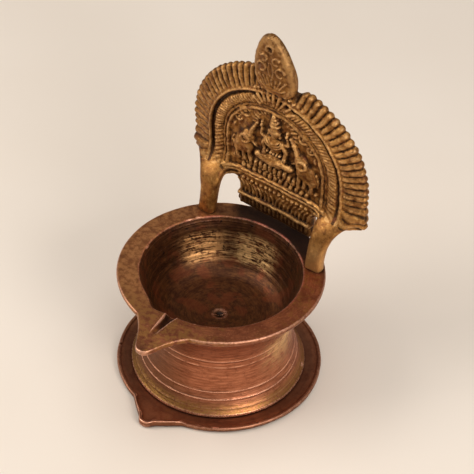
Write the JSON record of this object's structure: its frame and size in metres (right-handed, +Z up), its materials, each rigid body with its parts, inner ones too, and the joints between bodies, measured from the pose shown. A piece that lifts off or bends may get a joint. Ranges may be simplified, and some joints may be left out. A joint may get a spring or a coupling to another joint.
{
  "type": "standing oil lamp",
  "caption": "Cast brass oil lamp: waisted turned bowl with a wick spout on a spouted saucer, with an arched relief plate on two legs behind the bowl.",
  "frame": {"origin": "on the lamp's turning axis, at the underside of the saucer, which rests on the table", "axes": "+Z up along the bowl's axis; both spouts point along -Y and the relief plate stands on the +Y side; +X to the right seen from the spouts"},
  "size_m": [0.0822, 0.0938, 0.1422],
  "materials": {
    "turned_brass": "aged red-brown brass with turning rings, polished wear on edges and dark soot in recesses",
    "cast_brass": "aged golden-brown sand-cast relief with dark grime in its recesses",
    "fixing_brass": "dull aged brass"
  },
  "bodies": {
    "root": {"oil_bowl": "turned_brass", "drip_saucer": "turned_brass", "back_plate": "cast_brass", "left_leg_rivet": "fixing_brass", "right_leg_rivet": "fixing_brass", "saucer_stud": "fixing_brass"}
  },
  "joints": []
}
